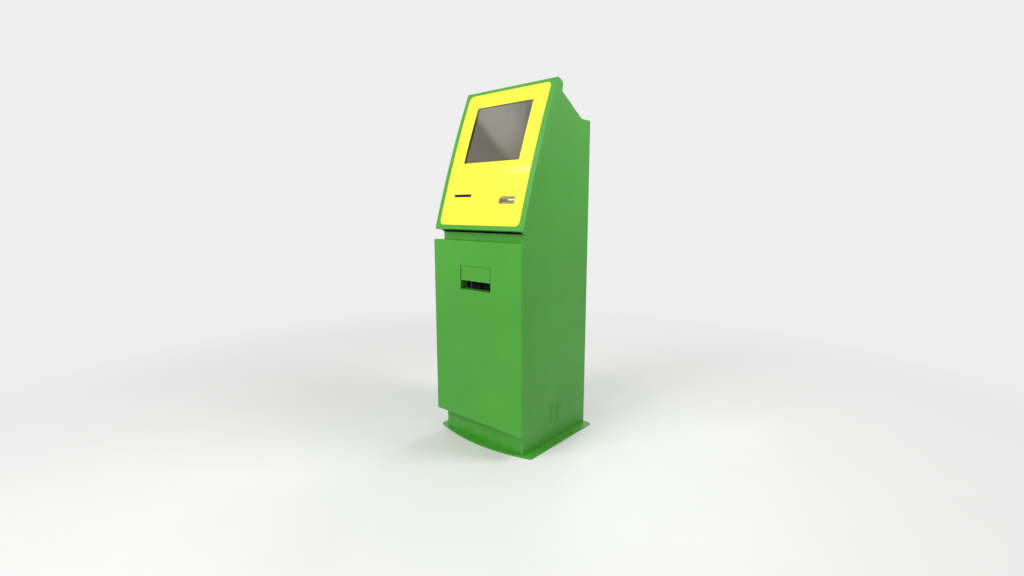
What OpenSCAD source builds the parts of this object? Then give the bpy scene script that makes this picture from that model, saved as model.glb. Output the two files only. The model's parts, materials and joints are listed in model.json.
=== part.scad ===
// Floor-standing cash and payment terminal: a sheet-metal cabinet with two hinged front doors.
// Millimetres. Origin: middle of the base plate's footprint, at its underside. Front faces -Y.

/* [Cabinet] */
// Width over the side panels
body_w = 480; // [420:5:560]
// Depth from the front plane to the rear panel
body_d = 476; // [440:4:560]
// Height of the rear ledge above the base plate
rear_h = 1454.5; // [1420:0.5:1500]
// Thickness of the sheet metal
sheet = 2; // [1.5:0.5:2.5]
// Width of the inward flanges beside the doors
jamb_w = 24; // [20:1:30]
// Height of the kick plate
kick_h = 100; // [60:5:140]
// Top of the front crossmember above the base plate
lip_h = 952; // [945:1:960]

/* [Base plate] */
// Thickness of the base plate
plate_t = 6; // [4:1:10]
// How far the base plate shows on each side
plate_side = 43; // [20:1:60]
// How far the bowed front runs ahead of the cabinet at the middle
plate_bow = 49; // [46:1:80]
// How far the plate shows behind the cabinet
plate_rear = 4; // [4:1:30]
// Corner radius of the plate
plate_r = 15; // [5:1:25]
// Distance between the anchor holes across the cabinet
anchor_x = 400; // [380:5:410]
// Distance between the anchor holes front to back
anchor_y = 380; // [300:5:400]
// Diameter of the anchor holes
anchor_d = 14; // [10:1:18]

/* [Roof] */
// Top of the hood above the base plate
hood_h = 1594; // [1590:1:1600]
// Distance from the front plane to the back of the hood
hood_y = 257; // [250:1:270]
// Radius of the hood's rear edge
hood_r = 20; // [8:1:24]
// Height of the fold under the hood
neck_h = 1548; // [1530:1:1560]
// Distance from the front plane to that fold
neck_y = 251; // [246:1:260]
// Depth of the flat ledge at the back
ledge_d = 72; // [50:2:100]

/* [Lower door] */
// How far both doors overhang the cabinet's sides
overhang = 22.5; // [20:0.5:30]
// Thickness of the lower door
door_t = 42.3; // [36:0.1:44]
// Running gap around the doors
door_gap = 1; // [0.5:0.1:2]
// Top of the lower door above the base plate
door_top = 918; // [900:1:930]
// Width of the dispensing hatch
hatch_w = 182; // [150:2:190]
// Height of the dispensing hatch
hatch_h = 105; // [90:1:110]
// Height of the hatch's lower edge above the base plate
hatch_z = 703; // [690:1:715]
// Height of the swinging flap
flap_h = 64; // [50:1:66]
// Gap around the flap
flap_gap = 3; // [2:0.5:5]
// Diameter of the flap's pin
flap_pin_d = 5; // [4:0.5:6]

/* [Display door] */
// Height of the door's lower front edge above the base plate
face_z = 967; // [962:1:975]
// How far that edge stands ahead of the cabinet's front plane
face_out = 34.4; // [28:0.2:38]
// Lean of the door from the vertical
face_tilt = 19.78; // [18:0.01:20.5]
// Length of the door from its lower to its upper edge
face_len = 663; // [655:1:665]
// How far the face bulges at its middle
face_bow = 10; // [5:0.5:14]
// Depth of the door's edge
edge_d = 15; // [15:0.5:20]
// Width of the coloured overlay
overlay_w = 472; // [440:2:490]
// Distance from the door's lower edge to the overlay
overlay_s = 19; // [12:1:22]
// Length of the overlay up the door
overlay_h = 627; // [600:1:630]
// Corner radius of the overlay
overlay_r = 23; // [10:1:30]
// Thickness of the overlay
overlay_t = 1.2; // [0.8:0.2:2]

/* [Screen] */
// Width of the screen opening
screen_w = 326; // [300:2:340]
// Height of the screen opening
screen_h = 272; // [240:2:276]
// Distance from the door's lower edge to the middle of the screen
screen_s = 440.5; // [430:0.5:450]
// Thickness of the touch glass
glass_t = 3; // [2:0.5:4]
// Depth of the display module
lcd_t = 15; // [10:1:20]
// How far glass and display reach past the opening
screen_lap = 14; // [8:1:18]

/* [Slots] */
// Middle of both slots above the door's lower edge
receipt_s = 152; // [148:1:156]
// Distance of the receipt slot from the centre line
receipt_x = 122; // [110:1:130]
// Width of the receipt slot
receipt_w = 106; // [90:1:110]
// Height of the receipt slot
receipt_h = 13; // [10:0.5:16]
// Middle of the note mouth above the door's lower edge
note_s = 130; // [126:1:134]
// Distance of the note mouth from the centre line
note_x = 144; // [138:1:148]
// Width of the note mouth
note_w = 86; // [80:1:90]
// Height of the note mouth
note_h = 34; // [30:1:36]
// Radius of the note mouth's one round corner
note_r = 13; // [6:1:14]

/* [Dispenser] */
// Number of cassettes in the dispenser
cassettes = 3; // [3:1:3]
// Width of a cassette
cassette_w = 240; // [200:5:250]
// Height of a cassette
cassette_h = 150; // [120:2:156]
// Depth of a cassette
cassette_d = 340; // [300:5:350]
// Height of the dispenser's underside above the base plate
dispenser_z = 210; // [195:5:215]
// Distance from the front plane to the cassettes
cassette_y = 62; // [60:1:70]
// Diameter of the transport rollers
roller_d = 24; // [16:1:26]

/* [Fits] */
// Gap around sliding parts
slide_gap = 0.4; // [0.3:0.1:0.8]
// Radial gap of pins and shafts in their bores
run_gap = 0.1; // [0.05:0.01:0.1]
// Diameter of the hinge pins
hinge_pin_d = 5; // [4:0.5:6]
// Outer diameter of the hinge knuckles
knuckle_d = 10; // [9:0.5:10]
// Height of one hinge
hinge_h = 60; // [50:2:80]
// Diameter of the lock barrels
barrel_d = 19; // [16:1:20]

/* [Hidden] */
$fn = 48;
eps = 0.01;

// Colours
green = [0.20, 0.52, 0.18];
yellow = [0.98, 0.85, 0.15];
zinc = [0.72, 0.74, 0.76];
dark = [0.12, 0.13, 0.14];
steel = [0.55, 0.56, 0.58];

// Base plate and frame of reference
plate_d = plate_bow + body_d + plate_rear;
plate_w = body_w + 2 * plate_side;
front_y = plate_bow - plate_d / 2;
inner_w = body_w - 2 * sheet;
door_w = body_w + 2 * overhang;

// Hinges, set in the doors' overhang
pivot_x = body_w / 2 + overhang / 2;
leaf_t = 2.5;
pivot_in = knuckle_d / 2 + 1;
lower_hinges = [260, 760];
display_hinges = [90, 560];

// Hatch flap's pin
flap_back = 7;
flap_y = flap_back + 1.5 - door_gap - door_t;
flap_z = hatch_z + hatch_h - flap_pin_d - 2.5;

// Locks, through the left side panel
lock_y = 38;
lock_z = 480;
lock_s = 331;
lock_reach = 18;
cam_t = 3;
cam_w = 14;
cam_len = 30;
cam_x = -body_w / 2 + lock_reach + sheet;
plug_d = 12;

// Display door
face_r = (face_len * face_len / 4 + face_bow * face_bow) / (2 * face_bow);
face_steps = 24;
jamb_s = edge_d + door_gap;

// Dispenser
bay_wall = 2;
bay_h = cassette_h + 2 * slide_gap + bay_wall;
chassis_w = cassette_w + 2 * slide_gap + 2 * bay_wall;
chassis_h = cassettes * bay_h + bay_wall;
chassis_top = dispenser_z + chassis_h;
nose_y = 14;
nose_w = 170;
nose_l = 250;
nose_h = 96;
roller_y = nose_y + 30;
roller_z = chassis_top + nose_h / 2;
shaft_d = 6;

// Equipment bay
shelf_z = 880;
rail_h = 30;
pc = [300, 200, 95];
pc_x = 60;
pc_y = body_d - sheet - 18 - pc[1];
power = [96, 150, 80];
power_x = -172;
power_y = body_d - sheet - 30 - power[1];
fan_d = 116;
fan_t = 25;
fan_z = 1250;
gland_x = -150;
gland_z = 60;
gland_d = 20;

// Receipt printer and note validator, behind the display door
platen_d = 16;
platen_l = 82;
printer = [126, 84, 88];
printer_gap = 6;
roll_d = 78;
roll_w = 80;
roll_y = 150;
spindle_d = 12;
head = [96, 120, 84];
stack = [92, 92, 210];
stack_y = 40;

// A point of the door's frame in the cabinet's Y and Z
function face_point(y, s) = [
    y * cos(face_tilt) + s * sin(face_tilt) - face_out,
    face_z - y * sin(face_tilt) + s * cos(face_tilt)
];

// Depth of the bowed face at a distance s up the door
function arc_y(s) = face_r - face_bow - sqrt(face_r * face_r - pow(s - face_len / 2, 2));
function arc_line(inset, s0, s1) = [
    for (i = [0 : face_steps])
        let (s = s0 + (s1 - s0) * i / face_steps)
        [arc_y(s) + inset, s]
];

// How far up the door's plane the jamb reaches the hood's top
hood_s = (hood_h - face_z + jamb_s * sin(face_tilt)) / cos(face_tilt);

// The hood's front flange starts at this height, where the side panels' flanges end
hood_flange_z = neck_h + 20;
jamb_top = (hood_flange_z - face_z + jamb_s * sin(face_tilt)) / cos(face_tilt);

// Outline of the side panels, in Y and Z
function cabinet_outline() = concat(
    [[0, 0], [0, lip_h], face_point(jamb_s, 0), face_point(jamb_s, hood_s)],
    [for (a = [90 : -10 : 0]) [hood_y - hood_r + hood_r * cos(a), hood_h - hood_r + hood_r * sin(a)]],
    [[neck_y, neck_h], [body_d - ledge_d, rear_h], [body_d, rear_h], [body_d, 0]]
);

// Cabinet frame: Y = 0 on the front plane, Z = 0 on top of the base plate
module cabinet_frame() {
    translate([0, front_y, plate_t]) children();
}

// Door frame: Y = 0 at the door's edges and inwards, Z up the door
module door_frame() {
    cabinet_frame() translate([0, -face_out, face_z]) rotate([-face_tilt, 0, 0]) children();
}

// Frame on the bowed face, square to it at one point
module on_face(x, s) {
    door_frame() translate([x, arc_y(s), s]) rotate([-asin((s - face_len / 2) / face_r), 0, 0])
        children();
}

// Jamb frames: Y = 0 on the flange that a door closes on
module lower_jamb() {
    cabinet_frame() translate([0, 0, lock_z]) children();
}

module display_jamb() {
    door_frame() translate([0, jamb_s, lock_s]) children();
}

module box(x0, x1, y0, y1, z0, z1) {
    translate([x0, y0, z0]) cube([x1 - x0, y1 - y0, z1 - z0]);
}

module prism_x(w, points) {
    translate([-w / 2, 0, 0]) rotate([90, 0, 90]) linear_extrude(w) polygon(points);
}

module rod_x(x0, x1, d) {
    translate([x0, 0, 0]) rotate([0, 90, 0]) cylinder(h = x1 - x0, d = d);
}

module round_rect(w, h, r) {
    square([w - 2 * r, h], center = true);
    square([w, h - 2 * r], center = true);
    for (x = [-1, 1])
        for (y = [-1, 1])
            translate([x * (w / 2 - r), y * (h / 2 - r)]) circle(r);
}

// A round-cornered block along Y
module round_block(w, h, r, y0, y1) {
    translate([0, y1, 0]) rotate([90, 0, 0]) linear_extrude(y1 - y0) round_rect(w, h, r);
}

// The note mouth: square but for its upper left corner
module mouth_block(grow, y0, y1) {
    w = note_w + 2 * grow;
    h = note_h + 2 * grow;
    r = note_r + grow;
    translate([0, y1, 0]) rotate([90, 0, 0]) linear_extrude(y1 - y0) {
        translate([r - w / 2, -h / 2]) square([w - r, h]);
        translate([-w / 2, -h / 2]) square([r + eps, h - r]);
        translate([r - w / 2, h / 2 - r]) circle(r);
    }
}

module plate_outline() {
    bow_r = (plate_w * plate_w / 4 + plate_bow * plate_bow) / (2 * plate_bow);
    y0 = -plate_d / 2;
    corner_y = y0 + bow_r - sqrt(bow_r * bow_r - pow(plate_w / 2 - plate_r, 2)) + plate_r;
    intersection() {
        translate([0, y0 + bow_r]) circle(bow_r, $fn = 240);
        translate([-plate_w / 2, y0]) square([plate_w, plate_d]);
        union() {
            translate([-plate_w / 2 + plate_r, y0]) square([plate_w - 2 * plate_r, plate_d]);
            translate([-plate_w / 2, corner_y]) square([plate_w, plate_d / 2 - plate_r - corner_y]);
            for (x = [-1, 1])
                for (y = [corner_y, plate_d / 2 - plate_r])
                    translate([x * (plate_w / 2 - plate_r), y]) circle(plate_r);
        }
    }
}

module base_plate() color(green) difference() {
    linear_extrude(plate_t) plate_outline();
    for (x = [-anchor_x / 2, anchor_x / 2])
        for (y = [-anchor_y / 2, anchor_y / 2])
            translate([x, y, -1]) cylinder(h = plate_t + 2, d = anchor_d);
}

louvre_w = 33;
louvre_pitch = 10.5;
louvre_rows = 8;
louvre_out = 3;
louvre_z = 88;

// Punched louvres stand out over their slots
module louvre_slots(grow) {
    for (y = [body_d / 2 - 24, body_d / 2 + 24])
        for (i = [0 : louvre_rows - 1])
            translate([0, y, louvre_z + i * louvre_pitch]) rotate([90, 0, 0])
                linear_extrude(louvre_w + grow, center = true) children();
}

module side_panel(side) difference() {
    union() {
        translate([side * (body_w / 2 - sheet / 2), 0, 0]) prism_x(sheet, cabinet_outline());
        translate([side * body_w / 2, 0, 0]) louvre_slots(0)
            polygon([[-side * eps, 6.5], [-side * eps, 0], [side * louvre_out, 1], [side * louvre_out, 2.5]]);
        mirror([side < 0 ? 1 : 0, 0, 0]) {
            box(body_w / 2 - jamb_w, body_w / 2 - eps, 0, sheet, 0, lip_h);
            jamb_flange();
        }
    }
    translate([side * body_w / 2, 0, 0]) louvre_slots(-2)
        polygon([[-side * 2 * sheet, 4.5], [-side * 2 * sheet, -0.5], [side * 1, -0.5], [side * 1, 3]]);
    if (side < 0) {
        lock_hole(0, lock_z);
        translate([0, -face_out, face_z]) rotate([-face_tilt, 0, 0]) lock_hole(jamb_s, lock_s);
    }
}

module jamb_flange() {
    translate([0, -face_out, face_z]) rotate([-face_tilt, 0, 0])
        box(body_w / 2 - jamb_w, body_w / 2 - eps, jamb_s, jamb_s + sheet, 2 * sheet, jamb_top);
}

module lock_hole(y, z) {
    translate([0, y + lock_y, z]) rod_x(-body_w / 2 - 1, -body_w / 2 + sheet + 1, barrel_d);
}

module side_panel_left() color(green) cabinet_frame() side_panel(-1);

module side_panel_right() color(green) cabinet_frame() side_panel(1);

module rear_panel() color(green) cabinet_frame() difference() {
    union() {
        box(-inner_w / 2, inner_w / 2, body_d - sheet, body_d, 0, rear_h - sheet);
        for (x = [-1, 1])
            translate([x * (inner_w / 2 - 10), 0, 0])
                box(-10, 10, body_d - 2 * sheet, body_d - sheet + eps, 4, rear_h - 2 * sheet - 4);
    }
    for (i = [0 : 6])
        box(-fan_d / 2 + 6, fan_d / 2 - 6, body_d - 3 * sheet, body_d + 1,
            fan_z - 46 + i * 15, fan_z - 41 + i * 15);
    for (x = [-90, 0, 90])
        for (i = [0 : 5])
            box(x - 32, x + 32, body_d - 3 * sheet, body_d + 1, 1000 + i * 14, 1005 + i * 14);
    for (x = [-90, 0, 90])
        for (i = [0 : 5])
            box(x - 32, x + 32, body_d - 3 * sheet, body_d + 1, 180 + i * 14, 185 + i * 14);
    translate([gland_x, body_d + 1, gland_z]) rotate([90, 0, 0]) cylinder(h = 4 * sheet, d = gland_d);
}

module roof_panel() color(green) cabinet_frame() translate([-inner_w / 2, 0, 0]) rotate([90, 0, 90])
    linear_extrude(inner_w) intersection() {
        difference() {
            polygon(cabinet_outline());
            offset(delta = -sheet) polygon(cabinet_outline());
        }
        union() {
            translate([0, hood_flange_z]) square([body_d, 100]);
            translate([hood_y - hood_r, rear_h - sheet]) square([body_d - hood_y + hood_r, hood_h - rear_h]);
        }
    }

module kick_plate() color(green) cabinet_frame() {
    w = body_w / 2 - jamb_w;
    box(-w, w, 0, sheet, 0, kick_h);
    box(-w, w, 0, 26, kick_h - sheet, kick_h);
    box(-w, w, 0, 26, 0, sheet);
}

module front_crossmember() color(green) cabinet_frame() {
    w = body_w / 2 - jamb_w;
    box(-w, w, 0, sheet, door_top - 30, lip_h);
    box(-w, w, 0, 34, lip_h - sheet, lip_h);
    box(-w, w, 0, 20, door_top - 30, door_top - 30 + sheet);
}

module shelf_rails() color(zinc) cabinet_frame() for (side = [0, 1]) mirror([side, 0, 0]) {
    box(inner_w / 2 - sheet, inner_w / 2, 60, body_d - 20, shelf_z - rail_h, shelf_z);
    box(inner_w / 2 - 24, inner_w / 2, 60, body_d - 20, shelf_z - sheet, shelf_z);
}

module equipment_shelf() color(zinc) cabinet_frame() {
    box(-inner_w / 2 + 1, inner_w / 2 - 1, 60, body_d - 20, shelf_z, shelf_z + sheet);
    box(-inner_w / 2 + 26, inner_w / 2 - 26, 60, 60 + sheet, shelf_z - 22, shelf_z + eps);
}

screw_d = 9;
screw_h = 2.4;

module rear_screw(x, z) {
    translate([x, body_d, z]) rotate([-90, 0, 0]) difference() {
        cylinder(h = screw_h, d1 = screw_d, d2 = screw_d - 3, $fn = 32);
        translate([0, 0, screw_h - 1]) cylinder(h = 2, d = 3.4, $fn = 6);
    }
}

module cabinet_screws() color(steel) cabinet_frame() {
    for (x = [-inner_w / 2 + 10, inner_w / 2 - 10])
        for (i = [0 : 5])
            rear_screw(x, 40 + i * (rear_h - 80) / 5);
}

// Fixed hinge leaves, on the flanges of the right side panel
module frame_leaf(pivot) {
    difference() {
        union() {
            box(body_w / 2 - jamb_w + 4, pivot_x, -leaf_t, 0, -hinge_h / 6, hinge_h / 6);
            translate([pivot_x, -pivot, -hinge_h / 6]) cylinder(h = hinge_h / 3, d = knuckle_d);
        }
        translate([pivot_x, -pivot, -hinge_h]) cylinder(h = 2 * hinge_h, d = hinge_pin_d + 2 * run_gap);
    }
}

module hinge_frame_leaves() color(steel) {
    for (z = lower_hinges)
        cabinet_frame() translate([0, 0, z]) frame_leaf(pivot_in);
    for (s = display_hinges)
        door_frame() translate([0, jamb_s, s]) frame_leaf(pivot_in);
}

// Door leaves: two knuckles each, on the inside of the door's right edge
module door_leaf(pivot) {
    difference() {
        for (k = [-1, 1])
            translate([0, 0, k * (hinge_h / 3 + slide_gap)]) {
                box(pivot_x, door_w / 2 - sheet, -pivot - knuckle_d / 2, -pivot, -hinge_h / 6, hinge_h / 6);
                translate([pivot_x, -pivot, -hinge_h / 6]) cylinder(h = hinge_h / 3, d = knuckle_d);
            }
        translate([pivot_x, -pivot, -hinge_h]) cylinder(h = 2 * hinge_h, d = hinge_pin_d);
    }
}

module hinge_pin(pivot) {
    translate([pivot_x, -pivot, -hinge_h / 2 - 1]) cylinder(h = hinge_h + 2, d = hinge_pin_d);
}

module lower_hinge_leaves() color(steel)
    for (z = lower_hinges)
        cabinet_frame() translate([0, 0, z]) door_leaf(pivot_in);

module lower_hinge_pins() color(steel)
    for (z = lower_hinges)
        cabinet_frame() translate([0, 0, z]) hinge_pin(pivot_in);

module display_hinge_leaves() color(steel)
    for (s = display_hinges)
        door_frame() translate([0, jamb_s, s]) door_leaf(pivot_in);

module display_hinge_pins() color(steel)
    for (s = display_hinges)
        door_frame() translate([0, jamb_s, s]) hinge_pin(pivot_in);

// Cam lock in a jamb frame, its axis along X
module lock_barrel() translate([0, lock_y, 0]) difference() {
    union() {
        rod_x(-body_w / 2 - 2, -body_w / 2, barrel_d + 5);
        rod_x(-body_w / 2 - eps, cam_x - slide_gap, barrel_d);
    }
    rod_x(-body_w / 2 - 3, cam_x + 1, plug_d + 2 * run_gap);
}

module lock_cam() translate([0, lock_y, 0]) difference() {
    union() {
        rod_x(-body_w / 2 - 2, cam_x + cam_t, plug_d);
        rod_x(cam_x, cam_x + cam_t, cam_w);
        box(cam_x, cam_x + cam_t, -cam_len, 0, -cam_w / 2, cam_w / 2);
    }
    box(-body_w / 2 - 3, -body_w / 2, -0.7, 0.7, -3.5, 3.5);
}

module lock_barrels() color(steel) {
    lower_jamb() lock_barrel();
    display_jamb() lock_barrel();
}

module lower_lock_cam() color(steel) lower_jamb() lock_cam();

module display_lock_cam() color(steel) display_jamb() lock_cam();

// Strike on a door: its lip stands behind the raised cam
strike_x = cam_x + cam_t + 1.5;
strike_t = 3;
strike_low = 13;
strike_high = 28;
strike_foot = [26, 45];

module strike(back) {
    lip_y = lock_y + cam_w / 2 + 1.5;
    box(strike_x, strike_x + strike_t, back, lip_y + strike_t, strike_low, strike_high);
    box(cam_x - 1, strike_x + strike_t, lip_y, lip_y + strike_t, strike_low, strike_high);
    box(strike_x, strike_x + strike_foot[0], back, back + strike_t, 0, strike_foot[1]);
}

module lower_strike() color(steel) lower_jamb() strike(-door_gap);

// Dispenser
module dispenser_stand() color(dark) cabinet_frame() {
    w = chassis_w / 2;
    y0 = cassette_y;
    y1 = cassette_y + cassette_d;
    for (x = [-w, w - 30])
        for (y = [y0, y1 - 30])
            box(x, x + 30, y, y + 30, 0, dispenser_z - 3 + eps);
    difference() {
        box(-w, w, y0, y1, dispenser_z - 3, dispenser_z);
        box(-w + 40, w - 40, y0 + 40, y1 - 40, dispenser_z - 4, dispenser_z + 1);
    }
}

module dispenser_chassis() color(zinc) cabinet_frame() {
    w = chassis_w / 2;
    y1 = cassette_y + cassette_d + slide_gap;
    for (x = [-w, w - bay_wall])
        box(x, x + bay_wall, cassette_y, y1, dispenser_z, chassis_top);
    box(-w, w, y1, y1 + bay_wall, dispenser_z, chassis_top);
    for (i = [0 : cassettes])
        box(-w + eps, w - eps, cassette_y, y1 + eps, dispenser_z + i * bay_h, dispenser_z + i * bay_h + bay_wall);
}

function bay_z(i) = dispenser_z + bay_wall + slide_gap + (i - 1) * bay_h;

module cash_cassette(i) color(dark) cabinet_frame() translate([0, cassette_y, bay_z(i)]) {
    box(-cassette_w / 2, cassette_w / 2, 0, cassette_d, 0, cassette_h);
    box(cassette_w / 2 - 46, cassette_w / 2 - 16, -3, eps, 20, 50);
}

module cassette_handle(i) color(steel) cabinet_frame() translate([0, cassette_y, bay_z(i)]) {
    for (x = [-60, 52])
        box(x, x + 8, -16, 0, cassette_h - 40, cassette_h - 28);
    box(-60, 60, -20, -16 + eps, cassette_h - 42, cassette_h - 26);
}

module presenter_frame() color(zinc) cabinet_frame() difference() {
    union() {
        for (x = [-nose_w / 2, nose_w / 2 - 3])
            box(x, x + 3, nose_y, nose_y + nose_l, chassis_top, chassis_top + nose_h);
        box(-nose_w / 2 + eps, nose_w / 2 - eps, nose_y + 20, nose_y + nose_l, chassis_top, chassis_top + 3);
        box(-nose_w / 2 + eps, nose_w / 2 - eps, nose_y + 20, nose_y + nose_l,
            chassis_top + nose_h - 3, chassis_top + nose_h);
        box(-nose_w / 2 + eps, nose_w / 2 - eps, nose_y + nose_l - 3, nose_y + nose_l,
            chassis_top + eps, chassis_top + nose_h - eps);
    }
    for (k = [-1, 1])
        translate([0, roller_y, roller_z + k * (roller_d / 2 + 0.5)])
            rod_x(-nose_w / 2 - 1, nose_w / 2 + 1, shaft_d + 2 * run_gap);
}

module presenter_roller(k) color(dark) cabinet_frame()
    translate([0, roller_y, roller_z + k * (roller_d / 2 + 0.5)]) {
        rod_x(-nose_w / 2 - 1.5, nose_w / 2 + 1.5, shaft_d);
        for (x = [-52, 0, 52])
            rod_x(x - 14, x + 14, roller_d);
    }

module presenter_roller_upper() presenter_roller(1);

module presenter_roller_lower() presenter_roller(-1);

// Equipment bay
module computer_case() color(dark) cabinet_frame() translate([pc_x, pc_y, shelf_z + sheet]) difference() {
    box(-pc[0] / 2, pc[0] / 2, 0, pc[1], 0, pc[2]);
    translate([80, -1, pc[2] / 2]) rotate([-90, 0, 0]) cylinder(h = 22, d = 76);
    translate([80, 0, pc[2] / 2]) rotate([-90, 0, 0]) cylinder(h = 30, d = shaft_d + 2 * run_gap);
    for (i = [0 : 5])
        box(-pc[0] / 2 + 20, pc[0] / 2 - 120, -1, 3, 20 + i * 10, 24 + i * 10);
}

module fan_blades(d, hub, t, n) {
    cylinder(h = t, d = hub);
    for (i = [0 : n - 1])
        rotate([0, 0, i * 360 / n]) translate([hub / 2 - 1, -d / 22, t / 4]) rotate([25, 0, 0])
            cube([d / 2 - hub / 2 - 1, d / 8, 1.6]);
}

module computer_fan() color(steel) cabinet_frame()
    translate([pc_x + 80, pc_y + 20, shelf_z + sheet + pc[2] / 2]) rotate([90, 0, 0]) {
        fan_blades(70, 26, 12, 7);
        translate([0, 0, -8]) cylinder(h = 9, d = shaft_d);
    }

module power_box() color(zinc) cabinet_frame() translate([power_x, power_y, shelf_z + sheet]) difference() {
    box(-power[0] / 2, power[0] / 2, 0, power[1], 0, power[2]);
    box(-12, 12, -1, 14, 40, 60);
}

// Rocker switch, on a pivot across the power box's pocket
module power_switch() color([0.7, 0.1, 0.08]) cabinet_frame()
    translate([power_x, power_y + 5, shelf_z + sheet + 50]) rotate([-8, 0, 0]) {
        box(-11, 11, -6.5, -2, -8, 8);
        rod_x(-11.7, 11.7, 5);
    }

module exhaust_fan_frame() color(dark) cabinet_frame()
    translate([0, body_d - sheet, fan_z]) rotate([90, 0, 0]) difference() {
        linear_extrude(fan_t) round_rect(fan_d + 4, fan_d + 4, 8);
        difference() {
            translate([0, 0, -1]) cylinder(h = fan_t + 2, d = fan_d - 4);
            cylinder(h = 3, d = 40);
            for (a = [0, 90])
                rotate([0, 0, a]) translate([-fan_d / 2, -3, 0]) cube([fan_d, 6, 3]);
        }
        translate([0, 0, -1]) cylinder(h = 5, d = shaft_d + 2 * run_gap);
    }

module exhaust_fan_rotor() color(steel) cabinet_frame()
    translate([0, body_d - sheet, fan_z]) rotate([90, 0, 0]) {
        translate([0, 0, 4]) fan_blades(fan_d - 10, 38, fan_t - 6, 7);
        translate([0, 0, 0.5]) cylinder(h = 5, d = shaft_d);
    }

module cable_gland() color(dark) cabinet_frame()
    translate([gland_x, body_d, gland_z]) rotate([-90, 0, 0]) difference() {
    union() {
        cylinder(h = plate_rear - 0.5, d = gland_d + 8, $fn = 6);
        translate([0, 0, -14]) cylinder(h = 14 + eps, d = gland_d - 0.4);
        translate([0, 0, -sheet - 6]) cylinder(h = 6, d = gland_d + 8, $fn = 6);
    }
    translate([0, 0, -20]) cylinder(h = 40, d = 10);
}

// Lower door: a pan, its back sheet, and the hatch through both
module hatch_cut(y0, y1) {
    box(-hatch_w / 2, hatch_w / 2, y0, y1, hatch_z, hatch_z + hatch_h);
}

module lower_door_shell() color(green) cabinet_frame() difference() {
    box(-door_w / 2, door_w / 2, -door_gap - door_t, -door_gap, kick_h + 0.5, door_top);
    box(-door_w / 2 + sheet, door_w / 2 - sheet, -door_gap - door_t + sheet, 1,
        kick_h + 0.5 + sheet, door_top - sheet);
    hatch_cut(-door_gap - door_t - 1, 0);
}

module lower_door_back() color(zinc) cabinet_frame() difference() {
    box(-door_w / 2 + sheet, door_w / 2 - sheet, -door_gap - sheet, -door_gap,
        kick_h + 0.5 + sheet, door_top - sheet);
    hatch_cut(-door_gap - 2 * sheet, 0);
    for (z = lower_hinges)
        translate([0, 0, z])
            box(body_w / 2 - jamb_w, door_w / 2 - sheet - 1, -3 * sheet, 1, -hinge_h / 2 - 4, hinge_h / 2 + 4);
}

module hatch_tunnel() color(green) cabinet_frame() difference() {
    box(-hatch_w / 2 - sheet, hatch_w / 2 + sheet, -door_gap - door_t + sheet, -door_gap - sheet,
        hatch_z - sheet, hatch_z + hatch_h + sheet);
    hatch_cut(-door_t - 2, 1);
    translate([0, flap_y, flap_z]) rod_x(-hatch_w, hatch_w, flap_pin_d);
}

module hatch_flap() color(green) cabinet_frame() difference() {
    union() {
        box(-hatch_w / 2 + flap_gap, hatch_w / 2 - flap_gap, flap_y - flap_back, flap_y - flap_back + sheet,
            hatch_z + hatch_h - 1 - flap_h, hatch_z + hatch_h - 1);
        box(-hatch_w / 2 + flap_gap, hatch_w / 2 - flap_gap, flap_y - flap_back + sheet - eps, flap_y,
            flap_z - 3, flap_z + 3);
        translate([0, flap_y, flap_z]) rod_x(-hatch_w / 2 + flap_gap, hatch_w / 2 - flap_gap, flap_pin_d + 4);
    }
    translate([0, flap_y, flap_z]) rod_x(-hatch_w, hatch_w, flap_pin_d + 2 * run_gap);
}

module flap_pin() color(steel) cabinet_frame() translate([0, flap_y, flap_z])
    rod_x(-hatch_w / 2 - sheet, hatch_w / 2 + sheet, flap_pin_d);

// Display door: a bowed pan with openings for the screen, the receipt and the notes
module face_cuts() {
    on_face(0, screen_s) round_block(screen_w, screen_h, 2, -20, 20);
    on_face(-receipt_x, receipt_s) round_block(receipt_w, receipt_h, 1.5, -20, 20);
    on_face(note_x, note_s) mouth_block(0, -20, 20);
}

module display_door_shell() color(green) difference() {
    door_frame() prism_x(door_w, concat(arc_line(0, 0, face_len), [[edge_d, face_len], [edge_d, 0]]));
    door_frame() prism_x(door_w - 2 * sheet, concat(arc_line(sheet, sheet, face_len - sheet),
        [[edge_d + 1, face_len - sheet], [edge_d + 1, sheet]]));
    face_cuts();
}

module fascia_overlay() color(yellow) difference() {
    intersection() {
        door_frame() prism_x(overlay_w, concat(arc_line(-overlay_t, 0, face_len),
            [for (i = [face_steps : -1 : 0]) arc_line(0, 0, face_len)[i]]));
        door_frame() translate([0, 0, overlay_s + overlay_h / 2])
            round_block(overlay_w, overlay_h, overlay_r, -40, 20);
    }
    face_cuts();
}

// Depth of the sheet's back at the screen opening's edges, from the face's tangent there
screen_back = screen_h * screen_h / (8 * face_r) + sheet + 0.3;
glass_w = screen_w + 2 * screen_lap;
glass_h = screen_h + 2 * screen_lap;
lcd_y = screen_back + 1 + glass_t;

module touch_glass() color([0.1, 0.11, 0.12]) on_face(0, screen_s)
    round_block(glass_w, glass_h, 3, screen_back + 1, lcd_y);

module lcd_panel() color(dark) on_face(0, screen_s)
    round_block(glass_w, glass_h, 3, lcd_y, lcd_y + lcd_t);

module screen_bracket() color(zinc) on_face(0, screen_s) {
    w = glass_w / 2 + 3;
    h = glass_h / 2;
    box(-w, w, lcd_y + lcd_t, lcd_y + lcd_t + 2, -h, h);
    for (x = [-w, w - 2])
        box(x, x + 2, screen_back + 0.6, lcd_y + lcd_t + eps, -h + 10, h - 10);
}

module display_strike() color(steel) display_jamb() {
    strike(-door_gap - 10);
    box(strike_x, strike_x + strike_foot[0], arc_y(lock_s + strike_foot[1]) + sheet - jamb_s,
        -door_gap - 10 + eps, 0, strike_foot[1]);
}

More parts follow.
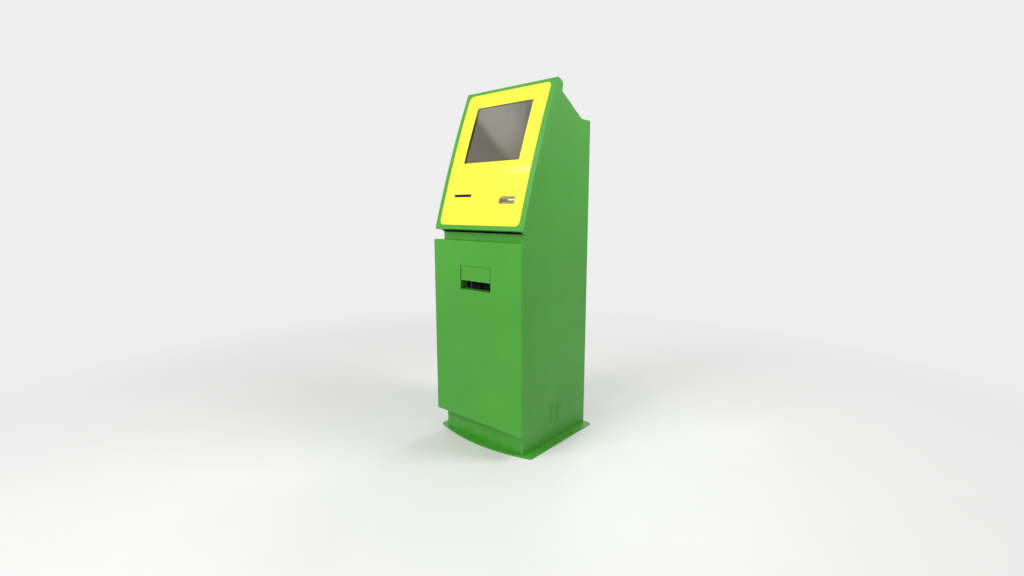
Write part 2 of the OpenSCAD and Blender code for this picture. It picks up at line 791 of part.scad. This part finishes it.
// Receipt printer, hung on the sheet behind its slot
module receipt_bezel() color(dark) on_face(-receipt_x, receipt_s) difference() {
    union() {
        round_block(receipt_w - 0.6, receipt_h - 0.6, 1.2, -overlay_t - 0.2, 6);
        round_block(receipt_w + 12, receipt_h + 12, 2, sheet + 0.5, 6);
    }
    round_block(receipt_w - 10, receipt_h - 5, 1, -5, 3.4);
    box(-41, 41, -6, 10, -1.5, 1.5);
}

module printer_body() color(dark) on_face(-receipt_x, receipt_s) translate([0, printer_gap, 0]) difference() {
    box(-printer[0] / 2, printer[0] / 2, 0, printer[1], -printer[2] / 2, printer[2] / 2);
    box(-platen_l / 2 - 1, platen_l / 2 + 1, -1, printer[1] + 1, -2, 2);
    translate([0, 16, -platen_d / 2 - 0.2]) rod_x(-platen_l / 2 - 1, platen_l / 2 + 1, platen_d + 2);
    translate([0, 16, -platen_d / 2 - 0.2]) rod_x(-printer[0], printer[0], shaft_d + 2 * run_gap);
}

module platen_roller() color([0.06, 0.06, 0.06]) on_face(-receipt_x, receipt_s)
    translate([0, printer_gap + 16, -platen_d / 2 - 0.2]) {
        rod_x(-platen_l / 2, platen_l / 2, platen_d);
        rod_x(-printer[0] / 2 - 2, printer[0] / 2 + 2, shaft_d);
    }

module paper_cradle() color(zinc) on_face(-receipt_x, receipt_s) {
    w = roll_w / 2 + 3;
    for (x = [-w - 2, w])
        box(x, x + 2, printer_gap + printer[1], roll_y + 12, -printer[2] / 2 + 4, 14);
    box(-w - 2, w + 2, printer_gap + printer[1], printer_gap + printer[1] + 2, -printer[2] / 2 + 4, -6);
    translate([0, roll_y, 0]) rod_x(-w - 2, w + 2, spindle_d);
}

module paper_roll() color("white") on_face(-receipt_x, receipt_s) translate([0, roll_y, 0]) difference() {
    rod_x(-roll_w / 2, roll_w / 2, roll_d);
    rod_x(-roll_w, roll_w, spindle_d + 2 * run_gap);
}

// Note validator with its stacker standing on top of it
module validator_bezel() color([0.5, 0.47, 0.3]) on_face(note_x, note_s) difference() {
    union() {
        mouth_block(-0.3, -overlay_t + 0.4, 9);
        round_block(note_w + 10, note_h + 10, 3, sheet + 0.5, 9);
    }
    box(-note_w / 2 + 5, note_w / 2 - 5, -6, 5, -note_h / 2 + 5, 4.5);
    box(-36, 36, 0, 10, -4, -0.5);
}

module validator_light() color([0.9, 1, 0.8]) on_face(note_x, note_s)
    box(2, note_w / 2 - 7, 3.4, 5, 1, 3.2);

module validator_head() color(dark) on_face(note_x, note_s) difference() {
    box(-head[0] / 2, head[0] / 2, 9, 9 + head[1], -head[2] / 2, head[2] / 2 - 8);
    box(-36, 36, 8, 9 + head[1] - 20, -4, -0.5);
}

module stacker_cassette() color([0.2, 0.2, 0.22]) on_face(note_x, note_s)
    box(-stack[0] / 2, stack[0] / 2, stack_y, stack_y + stack[1],
        head[2] / 2 - 8 + slide_gap, head[2] / 2 - 8 + slide_gap + stack[2]);

module stacker_handle() color(steel) on_face(note_x, note_s) {
    z = head[2] / 2 - 8 + slide_gap + stack[2];
    for (x = [-30, 24])
        box(x, x + 6, stack_y + 40, stack_y + 52, z, z + 18);
    box(-30, 30, stack_y + 38, stack_y + 54, z + 18 - eps, z + 23);
}

base_plate();
side_panel_left();
side_panel_right();
rear_panel();
roof_panel();
kick_plate();
front_crossmember();
equipment_shelf();
shelf_rails();
cabinet_screws();
hinge_frame_leaves();
lock_barrels();
lower_lock_cam();
display_lock_cam();
dispenser_stand();
dispenser_chassis();
presenter_frame();
presenter_roller_upper();
presenter_roller_lower();
cash_cassette(1);  // cash_cassette_1
cash_cassette(2);  // cash_cassette_2
cash_cassette(3);  // cash_cassette_3
cassette_handle(1);  // cassette_handle_1
cassette_handle(2);  // cassette_handle_2
cassette_handle(3);  // cassette_handle_3
computer_case();
computer_fan();
power_box();
power_switch();
exhaust_fan_frame();
exhaust_fan_rotor();
cable_gland();
lower_door_shell();
lower_door_back();
hatch_tunnel();
hatch_flap();
flap_pin();
lower_hinge_leaves();
lower_hinge_pins();
lower_strike();
display_door_shell();
fascia_overlay();
touch_glass();
lcd_panel();
screen_bracket();
display_hinge_leaves();
display_hinge_pins();
display_strike();
receipt_bezel();
printer_body();
platen_roller();
paper_cradle();
paper_roll();
validator_bezel();
validator_light();
validator_head();
stacker_cassette();
stacker_handle();
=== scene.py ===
"""Looks of the floor-standing cash terminal: a finish and softened edges for every part of the
frame, a pale floor, soft light and the camera."""

import json
import math

import bpy
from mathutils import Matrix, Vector


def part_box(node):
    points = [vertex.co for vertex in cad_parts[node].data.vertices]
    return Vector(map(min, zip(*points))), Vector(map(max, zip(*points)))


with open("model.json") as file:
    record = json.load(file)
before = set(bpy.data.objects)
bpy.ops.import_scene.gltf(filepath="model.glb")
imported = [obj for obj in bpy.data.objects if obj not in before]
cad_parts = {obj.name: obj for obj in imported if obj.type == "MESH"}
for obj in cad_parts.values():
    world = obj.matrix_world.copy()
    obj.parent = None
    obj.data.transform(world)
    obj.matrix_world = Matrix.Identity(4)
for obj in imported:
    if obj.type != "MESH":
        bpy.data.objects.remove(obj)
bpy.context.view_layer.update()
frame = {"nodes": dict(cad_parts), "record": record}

# Camera, fitted to the object's edges: metres and degrees
CAMERA_AT = (1.5258, -1.7883, 1.0614)
CAMERA_YAW = 40.66
CAMERA_PITCH = 8.97
FOCAL_PIXELS = 501.1
IMAGE_WIDTH = 1024
SENSOR_MM = 36.0

# Floor, backdrop and world: lengths in metres, the rest as brightness
FLOOR_SIZE = 60.0
FADE_START = 0.9
FADE_END = 3.2
BACKDROP = 0.86
WORLD_LIGHT = 0.42

# Area lights: name, place, target, side in metres, power in watts
LIGHTS = (
    ("key", (-0.7, -3.2, 3.4), (0, 0, 1.2), 1.6, 95),
    ("fill", (0.3, -3.4, 2.0), (0, 0, 0.5), 1.4, 34),
    ("side", (1.9, 0.9, 2.7), (0.24, 0, 1.5), 0.9, 40),
    ("back", (-0.6, 3.2, 3.0), (0, 0, 0.9), 2.0, 45),
)

# Softened edges: metres and degrees
EDGE_WIDTH = 0.0009
SMALL_EDGE_WIDTH = 0.0004
EDGE_ANGLE = 35
EDGE_SEGMENTS = 2
WELD_DISTANCE = 0.00001
FINE_NODES = {"touch_glass", "validator_light", "cabinet_screws", "power_switch", "flap_pin", "cable_gland"}

# Heights in metres between which dust on the powder coat thins out
DUST_FROM = 0.02
DUST_TO = 0.16

# Where the overlay's painted shade, deeper orange at its lower left, fades: metres along X, and metres up
PAINTED_SHADE_LEFT = -0.25
PAINTED_SHADE_RIGHT = 0.10
PAINTED_SHADE_LOW = 0.96
PAINTED_SHADE_HIGH = 1.35

# Sockets of a Mix node that mixes colours
MIX_FIRST = 6
MIX_SECOND = 7
MIX_RESULT = 2


def linear(red, green, blue):
    """An sRGB colour, 0 to 255, as Blender's linear colour with alpha."""
    def one(value):
        value /= 255
        return value / 12.92 if value <= 0.04045 else ((value + 0.055) / 1.055) ** 2.4
    return (one(red), one(green), one(blue), 1.0)


def shade(colour, factor):
    """A colour made lighter or darker."""
    return tuple(channel * factor for channel in colour[:3]) + (1.0,)


class Nodes:
    """A short way to write a material's node tree."""

    def __init__(self, name):
        self.material = bpy.data.materials.new(name)
        self.material.use_nodes = True
        self.tree = self.material.node_tree
        self.shader = self.tree.nodes["Principled BSDF"]
        coords = self.tree.nodes.new("ShaderNodeTexCoord")
        self.place = coords.outputs["Object"]

    def link(self, out, into):
        self.tree.links.new(out, into)

    def scaled(self, scale):
        node = self.tree.nodes.new("ShaderNodeMapping")
        node.inputs["Scale"].default_value = scale
        self.link(self.place, node.inputs["Vector"])
        return node.outputs["Vector"]

    def noise(self, scale, detail=4.0, roughness=0.5, vector=None):
        node = self.tree.nodes.new("ShaderNodeTexNoise")
        node.inputs["Scale"].default_value = scale
        node.inputs["Detail"].default_value = detail
        node.inputs["Roughness"].default_value = roughness
        self.link(vector or self.place, node.inputs["Vector"])
        return node.outputs["Fac"]

    def remap(self, value, low, high, to_low, to_high):
        node = self.tree.nodes.new("ShaderNodeMapRange")
        limits = {"From Min": low, "From Max": high, "To Min": to_low, "To Max": to_high}
        for name, number in limits.items():
            node.inputs[name].default_value = number
        self.link(value, node.inputs["Value"])
        return node.outputs["Result"]

    def math(self, operation, first, second):
        node = self.tree.nodes.new("ShaderNodeMath")
        node.operation = operation
        self.link(first, node.inputs[0])
        self.link(second, node.inputs[1])
        return node.outputs["Value"]

    def mix(self, amount, first, second):
        node = self.tree.nodes.new("ShaderNodeMix")
        node.data_type = "RGBA"
        self.link(amount, node.inputs["Factor"])
        for socket, value in ((node.inputs[MIX_FIRST], first), (node.inputs[MIX_SECOND], second)):
            if isinstance(value, tuple):
                socket.default_value = value
            else:
                self.link(value, socket)
        return node.outputs[MIX_RESULT]

    def axis(self, name):
        node = self.tree.nodes.new("ShaderNodeSeparateXYZ")
        self.link(self.place, node.inputs["Vector"])
        return node.outputs[name]

    def bump(self, height, strength, distance):
        node = self.tree.nodes.new("ShaderNodeBump")
        node.inputs["Strength"].default_value = strength
        node.inputs["Distance"].default_value = distance
        self.link(height, node.inputs["Height"])
        self.link(node.outputs["Normal"], self.shader.inputs["Normal"])

    def set(self, **values):
        for name, value in values.items():
            self.shader.inputs[name.replace("_", " ")].default_value = value


def powder_coat(name, colour, grain=900.0, roughness=0.42):
    """Textured powder coat: a fine orange peel, faint clouding, and dust low down."""
    n = Nodes(name)
    cloud = n.noise(2.2, 3.0)
    peel = n.noise(grain, 2.0)
    speckle = n.noise(2600.0, 1.0)
    base = n.mix(n.remap(cloud, 0.35, 0.65, 0.0, 1.0), shade(colour, 0.93), shade(colour, 1.05))
    flecked = n.mix(n.remap(speckle, 0.58, 0.72, 0.0, 0.22), base, shade(colour, 1.9))
    low = n.remap(n.axis("Z"), DUST_FROM, DUST_TO, 0.22, 0.0)
    dust = n.math("MULTIPLY", low, n.remap(n.noise(38.0, 6.0, 0.7), 0.45, 0.7, 0.0, 1.0))
    n.link(n.mix(dust, flecked, linear(150, 158, 140)), n.shader.inputs["Base Color"])
    rough = n.remap(n.noise(14.0, 5.0), 0.3, 0.7, roughness - 0.05, roughness + 0.07)
    n.link(rough, n.shader.inputs["Roughness"])
    n.bump(peel, 0.35, 0.0004)
    n.set(Coat_Weight=0.12, Coat_Roughness=0.25)
    return n.material


def overlay_plastic(name):
    """Satin yellow overlay with painted shade: darker and deeper orange towards its lower left."""
    n = Nodes(name)
    # painted shade: the overlay drawn darker and deeper orange towards its lower left, the side away from
    # the light
    across = n.remap(n.axis("X"), PAINTED_SHADE_LEFT, PAINTED_SHADE_RIGHT, 0.7, 0.0)
    down = n.remap(n.axis("Z"), PAINTED_SHADE_LOW, PAINTED_SHADE_HIGH, 1.0, 0.0)
    painted_shade = n.math("MULTIPLY", across, down)
    n.link(n.mix(painted_shade, linear(252, 236, 46), linear(250, 205, 48)), n.shader.inputs["Base Color"])
    n.link(n.remap(n.noise(30.0, 5.0), 0.3, 0.7, 0.30, 0.38), n.shader.inputs["Roughness"])
    n.bump(n.noise(1500.0, 2.0), 0.18, 0.0002)
    n.set(Coat_Weight=0.12, Coat_Roughness=0.35)
    return n.material


def metal(name, colour, roughness, stretch=(40.0, 900.0, 900.0)):
    """Rolled or drawn metal, with streaks along the axis that stretch gives the least scale."""
    n = Nodes(name)
    streak = n.noise(1.0, 4.0, 0.6, n.scaled(stretch))
    spangle = n.noise(60.0, 3.0)
    tint = n.mix(n.remap(spangle, 0.3, 0.7, 0.0, 1.0), shade(colour, 0.86), shade(colour, 1.08))
    n.link(tint, n.shader.inputs["Base Color"])
    n.link(n.remap(streak, 0.3, 0.7, roughness - 0.07, roughness + 0.1), n.shader.inputs["Roughness"])
    n.bump(streak, 0.12, 0.0002)
    n.set(Metallic=0.9)
    return n.material


def moulded(name, colour, roughness=0.5, grain=1400.0):
    """Moulded plastic or rubber with a fine spark-eroded grain."""
    n = Nodes(name)
    cloud = n.noise(9.0, 4.0)
    tint = n.mix(n.remap(cloud, 0.3, 0.7, 0.0, 1.0), shade(colour, 0.88), shade(colour, 1.12))
    n.link(tint, n.shader.inputs["Base Color"])
    n.link(n.remap(cloud, 0.3, 0.7, roughness - 0.05, roughness + 0.06), n.shader.inputs["Roughness"])
    n.bump(n.noise(grain, 2.0), 0.3, 0.0003)
    return n.material


def paper_stock(name):
    """White paper: a fine mottle and a fine tooth."""
    n = Nodes(name)
    mottle = n.remap(n.noise(700.0, 2.0), 0.4, 0.6, 0.0, 1.0)
    n.link(n.mix(mottle, linear(232, 231, 224), linear(244, 243, 238)), n.shader.inputs["Base Color"])
    n.bump(n.noise(900.0, 2.0), 0.2, 0.0002)
    n.set(Roughness=0.85)
    return n.material


def clear_glass(name):
    """Clear glass, polished but for faint smears."""
    n = Nodes(name)
    smear = n.noise(22.0, 5.0, 0.7)
    n.link(n.remap(smear, 0.45, 0.75, 0.015, 0.05), n.shader.inputs["Roughness"])
    n.set(Base_Color=(0.86, 0.88, 0.86, 1.0), Transmission_Weight=1.0, IOR=1.5)
    return n.material


def screen_with_painted_reflection(name, box):
    """The dark panel behind the glass, olive at lower left, with a painted reflection: pale grey past a
    soft diagonal. The whole picture, painted reflection included, glows.
    """
    n = Nodes(name)
    low, high = box
    across = n.remap(n.axis("X"), low[0], high[0], 0.0, 1.0)
    up = n.remap(n.axis("Z"), low[2], high[2], 0.0, 1.0)
    # edge: the soft diagonal past which the painted reflection lies
    edge = n.remap(n.math("ADD", across, up), 0.78, 0.92, 0.0, 1.0)
    olive = n.mix(across, linear(72, 61, 8), linear(54, 49, 14))
    dark = n.mix(up, olive, linear(32, 31, 12))
    # pale: the painted reflection of a soft light on the glass, grey towards the top right
    pale = n.mix(up, linear(118, 113, 92), linear(121, 118, 108))
    screen_and_painted_reflection = n.mix(edge, dark, pale)
    n.link(screen_and_painted_reflection, n.shader.inputs["Base Color"])
    # the whole picture glows, so the painted reflection glows too
    n.link(screen_and_painted_reflection, n.shader.inputs["Emission Color"])
    n.link(n.remap(n.noise(500.0, 2.0), 0.3, 0.7, 0.3, 0.36), n.shader.inputs["Roughness"])
    n.set(Emission_Strength=0.45)
    return n.material


def lit_bar(name):
    """A pale green diffuser, lit from behind."""
    n = Nodes(name)
    mottle = n.remap(n.noise(300.0, 2.0), 0.3, 0.7, 0.0, 1.0)
    glow = n.mix(mottle, linear(225, 245, 205), linear(245, 255, 230))
    n.link(glow, n.shader.inputs["Base Color"])
    n.link(glow, n.shader.inputs["Emission Color"])
    n.set(Emission_Strength=1.4, Roughness=0.4)
    return n.material


FINISHES = {
    "green_paint": powder_coat("green_paint", linear(56, 146, 28)),
    "yellow_overlay": overlay_plastic("yellow_overlay"),
    "zinc_sheet": metal("zinc_sheet", linear(196, 200, 204), 0.42),
    "plated_steel": metal("plated_steel", linear(188, 190, 194), 0.28),
    "dark_frame": powder_coat("dark_frame", linear(38, 40, 43)),
    "dark_plastic": moulded("dark_plastic", linear(34, 35, 37)),
    "olive_plastic": moulded("olive_plastic", linear(146, 138, 84), 0.42),
    "light_bar": lit_bar("light_bar"),
    "touch_glass": clear_glass("touch_glass"),
    "roller_rubber": moulded("roller_rubber", linear(24, 24, 25), 0.7, 500.0),
    "paper": paper_stock("paper"),
    "aluminium_case": metal("aluminium_case", linear(200, 202, 205), 0.35, (900.0, 40.0, 900.0)),
    "red_plastic": moulded("red_plastic", linear(176, 30, 24), 0.3),
}


def dress(node, material):
    """Puts a finish on a CAD node and softens its edges with modifiers."""
    obj = frame["nodes"][node]
    for slot in obj.material_slots:
        slot.material = material
    weld = obj.modifiers.new("join", "WELD")
    weld.merge_threshold = WELD_DISTANCE
    bevel = obj.modifiers.new("soft_edge", "BEVEL")
    bevel.width = SMALL_EDGE_WIDTH if node in FINE_NODES else EDGE_WIDTH
    bevel.segments = EDGE_SEGMENTS
    bevel.limit_method = "ANGLE"
    bevel.angle_limit = math.radians(EDGE_ANGLE)
    bevel.harden_normals = True


def add_camera():
    data = bpy.data.cameras.new("camera")
    data.sensor_width = SENSOR_MM
    data.lens = FOCAL_PIXELS / IMAGE_WIDTH * SENSOR_MM
    camera = bpy.data.objects.new("camera", data)
    camera.location = CAMERA_AT
    camera.rotation_euler = (math.radians(90 - CAMERA_PITCH), 0, math.radians(CAMERA_YAW))
    bpy.context.collection.objects.link(camera)
    bpy.context.scene.camera = camera


def background_rays(tree):
    """1 for the rays that show the backdrop: straight ones, mirrored ones and those through glass."""
    path = tree.nodes.new("ShaderNodeLightPath")
    rays = path.outputs["Is Camera Ray"]
    for kind in ("Is Glossy Ray", "Is Transmission Ray"):
        either = tree.nodes.new("ShaderNodeMath")
        either.operation = "MAXIMUM"
        tree.links.new(rays, either.inputs[0])
        tree.links.new(path.outputs[kind], either.inputs[1])
        rays = either.outputs["Value"]
    return rays


def fade_to_backdrop(n):
    """Far from the object the floor is shown in the backdrop's colour, so no horizon is seen."""
    length = n.tree.nodes.new("ShaderNodeVectorMath")
    length.operation = "LENGTH"
    n.link(n.place, length.inputs[0])
    away = n.remap(length.outputs["Value"], FADE_START, FADE_END, 0.0, 1.0)
    amount = n.math("MULTIPLY", away, background_rays(n.tree))
    glow = n.tree.nodes.new("ShaderNodeEmission")
    glow.inputs["Strength"].default_value = BACKDROP
    mixed = n.tree.nodes.new("ShaderNodeMixShader")
    n.link(amount, mixed.inputs["Fac"])
    n.link(n.shader.outputs["BSDF"], mixed.inputs[1])
    n.link(glow.outputs["Emission"], mixed.inputs[2])
    n.link(mixed.outputs["Shader"], n.tree.nodes["Material Output"].inputs["Surface"])


def add_floor():
    half = FLOOR_SIZE / 2
    mesh = bpy.data.meshes.new("floor")
    corner_points = [(-half, -half, 0), (half, -half, 0), (half, half, 0), (-half, half, 0)]
    mesh.from_pydata(corner_points, [], [(0, 1, 2, 3)])
    floor = bpy.data.objects.new("floor", mesh)
    bpy.context.collection.objects.link(floor)
    n = Nodes("floor")
    cloud = n.remap(n.noise(1.2, 4.0), 0.3, 0.7, 0.0, 1.0)
    n.link(n.mix(cloud, (0.72, 0.72, 0.71, 1), (0.76, 0.76, 0.75, 1)), n.shader.inputs["Base Color"])
    n.set(Roughness=0.6)
    fade_to_backdrop(n)
    mesh.materials.append(n.material)


def add_area(name, place, target, size, power):
    data = bpy.data.lights.new(name, "AREA")
    data.size = size
    data.energy = power
    light = bpy.data.objects.new(name, data)
    light.location = place
    light.rotation_euler = (Vector(target) - Vector(place)).to_track_quat("-Z", "Y").to_euler()
    light.visible_camera = False
    bpy.context.collection.objects.link(light)


def add_world():
    """A white world that lights at one strength and is seen at another."""
    world = bpy.data.worlds.new("world")
    bpy.context.scene.world = world
    world.use_nodes = True
    tree = world.node_tree
    background = tree.nodes["Background"]
    background.inputs["Color"].default_value = (1, 1, 1, 1)
    pick = tree.nodes.new("ShaderNodeMapRange")
    pick.inputs["To Min"].default_value = WORLD_LIGHT
    pick.inputs["To Max"].default_value = BACKDROP
    tree.links.new(background_rays(tree), pick.inputs["Value"])
    tree.links.new(pick.outputs["Result"], background.inputs["Strength"])


for part in frame["record"]["subparts"]:
    if part["node"] == "lcd_panel":
        # the lcd_panel gets the dark panel with its painted reflection
        dress("lcd_panel", screen_with_painted_reflection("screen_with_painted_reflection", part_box("lcd_panel")))
    else:
        dress(part["node"], FINISHES[part["material_slot"]])

add_camera()
add_floor()
for light_values in LIGHTS:
    add_area(*light_values)
add_world()
bpy.context.scene.view_settings.view_transform = "Standard"
